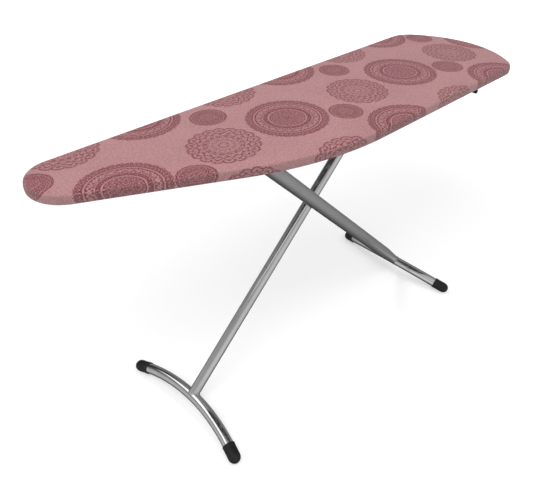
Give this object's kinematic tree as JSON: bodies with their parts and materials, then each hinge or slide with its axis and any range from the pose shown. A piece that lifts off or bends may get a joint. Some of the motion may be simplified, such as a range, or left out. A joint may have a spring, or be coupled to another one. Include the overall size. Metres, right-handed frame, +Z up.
{
  "type": "ironing board",
  "caption": "Padded ironing board with a tapered nose on a scissor stand with arched feet, a notched height slide and a release lever.",
  "frame": {"origin": "middle of the bounding box, on the floor", "axes": "+X along the board from its nose to its tail, +Y across it towards its straight long side, +Z up"},
  "size_m": [1.3841, 0.4544, 0.7525],
  "materials": {
    "cover_fabric": "printed cotton, rose with darker medallions",
    "felt": "needled felt",
    "cord": "woven elastic",
    "plate_paint": "silver grey powder coat",
    "zinc": "zinc plated",
    "chrome": "bright plated tube",
    "satin_steel": "dark satin metallic",
    "black_plastic": "matte black moulded",
    "spring_steel": "drawn wire"
  },
  "bodies": {
    "board": {"cover": "cover_fabric", "pad": "felt", "board_plate": "plate_paint", "rim_frame": "plate_paint", "cover_drawcord": "cord", "crossbar_1": "plate_paint", "crossbar_2": "plate_paint", "crossbar_3": "plate_paint", "crossbar_4": "plate_paint", "crossbar_5": "plate_paint", "rail_near": "zinc", "rail_far": "zinc", "leg_axle": "zinc", "axle_cap": "zinc", "axle_spacer_near": "black_plastic", "axle_spacer_far": "black_plastic", "rod_bracket_front": "zinc", "rod_bracket_rear": "zinc", "return_spring": "spring_steel"},
    "wide_leg_assembly": {"wide_leg": "satin_steel", "tail_foot": "chrome", "tail_cap_near": "black_plastic", "tail_cap_far": "black_plastic", "crossing_nut": "zinc", "crossing_bolt": "zinc"},
    "slim_leg_assembly": {"slim_leg": "chrome", "nose_foot": "chrome", "nose_cap_near": "black_plastic", "nose_cap_far": "black_plastic", "slide_pin": "zinc", "pin_cap": "zinc", "pin_spacer_near": "black_plastic", "pin_spacer_far": "black_plastic", "crossing_washer": "black_plastic"},
    "release_lever": {"release_rod": "zinc", "release_grip": "black_plastic", "keeper_strip": "zinc"}
  },
  "joints": [
    {"name": "leg_fold", "type": "hinge", "parent": "board", "child": "wide_leg_assembly", "pos_m": [-0.238, 0, 0.7085], "axis": [0, -1, 0], "range_deg": [-17.1, 42.2]},
    {"name": "leg_crossing", "type": "hinge", "parent": "wide_leg_assembly", "child": "slim_leg_assembly", "pos_m": [-0.01232, 0, 0.48108], "axis": [0, -1, 0], "range_deg": [-84, 34.2]},
    {"name": "release_lever_turn", "type": "hinge", "parent": "board", "child": "release_lever", "pos_m": [0.0948, -0.0668, 0.7021], "axis": [-1, 0, 0], "range_deg": [0, 14], "stiffness_Nm_per_rad": 0.1, "springref_deg": -17.19}
  ],
  "couplings": [
    {"joint": "leg_crossing", "follows": "leg_fold", "ratio": -1.9803}
  ]
}
